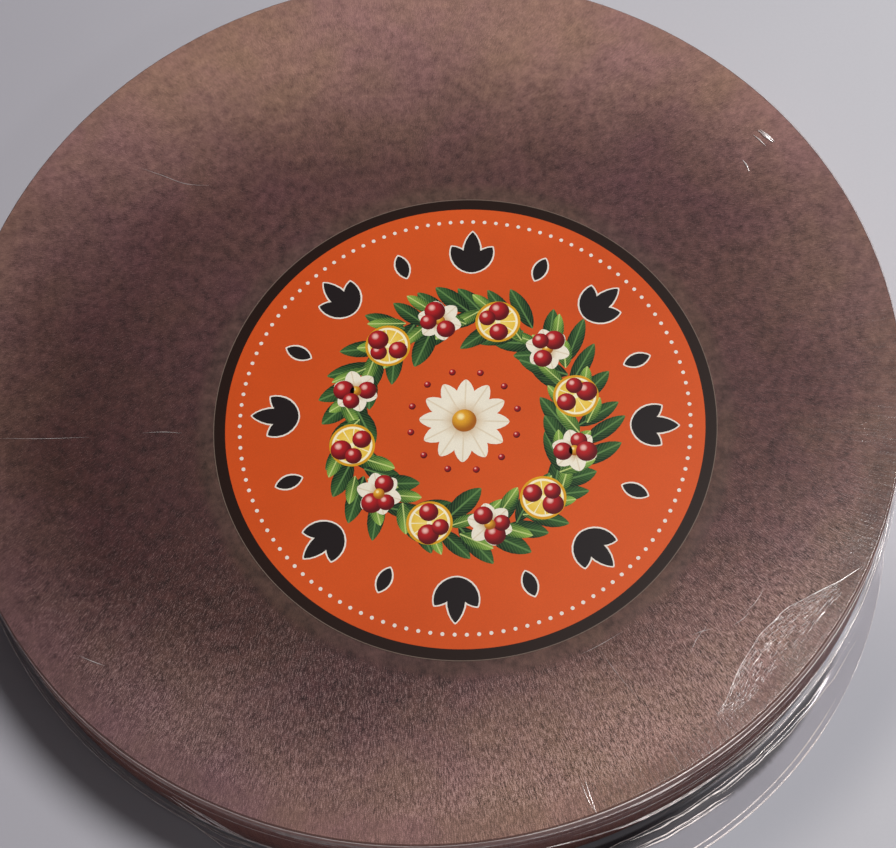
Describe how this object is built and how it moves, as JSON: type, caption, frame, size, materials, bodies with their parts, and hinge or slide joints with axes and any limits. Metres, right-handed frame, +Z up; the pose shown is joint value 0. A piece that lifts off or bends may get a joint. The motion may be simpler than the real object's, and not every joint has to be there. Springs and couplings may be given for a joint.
{
  "type": "round chopping block",
  "caption": "Thick round end-grain wooden chopping block with a round paper label, held in clear shrink film that has a welded fin round its foot.",
  "frame": {"origin": "on the block's axis, on the flat face that the wrapped block stands on", "axes": "+Z up along the block's axis; -Y towards the near side, where the film's fin is widest; +X to the right of a viewer at the near side"},
  "size_m": [0.366, 0.3816, 0.0408],
  "materials": {
    "wood": "unfinished end grain, seen through film",
    "label_paper": "printed coated paper",
    "film": "clear, glossy"
  },
  "bodies": {
    "root": {"block": "wood", "label": "label_paper", "film_top": "film", "film_bottom": "film"}
  },
  "joints": []
}
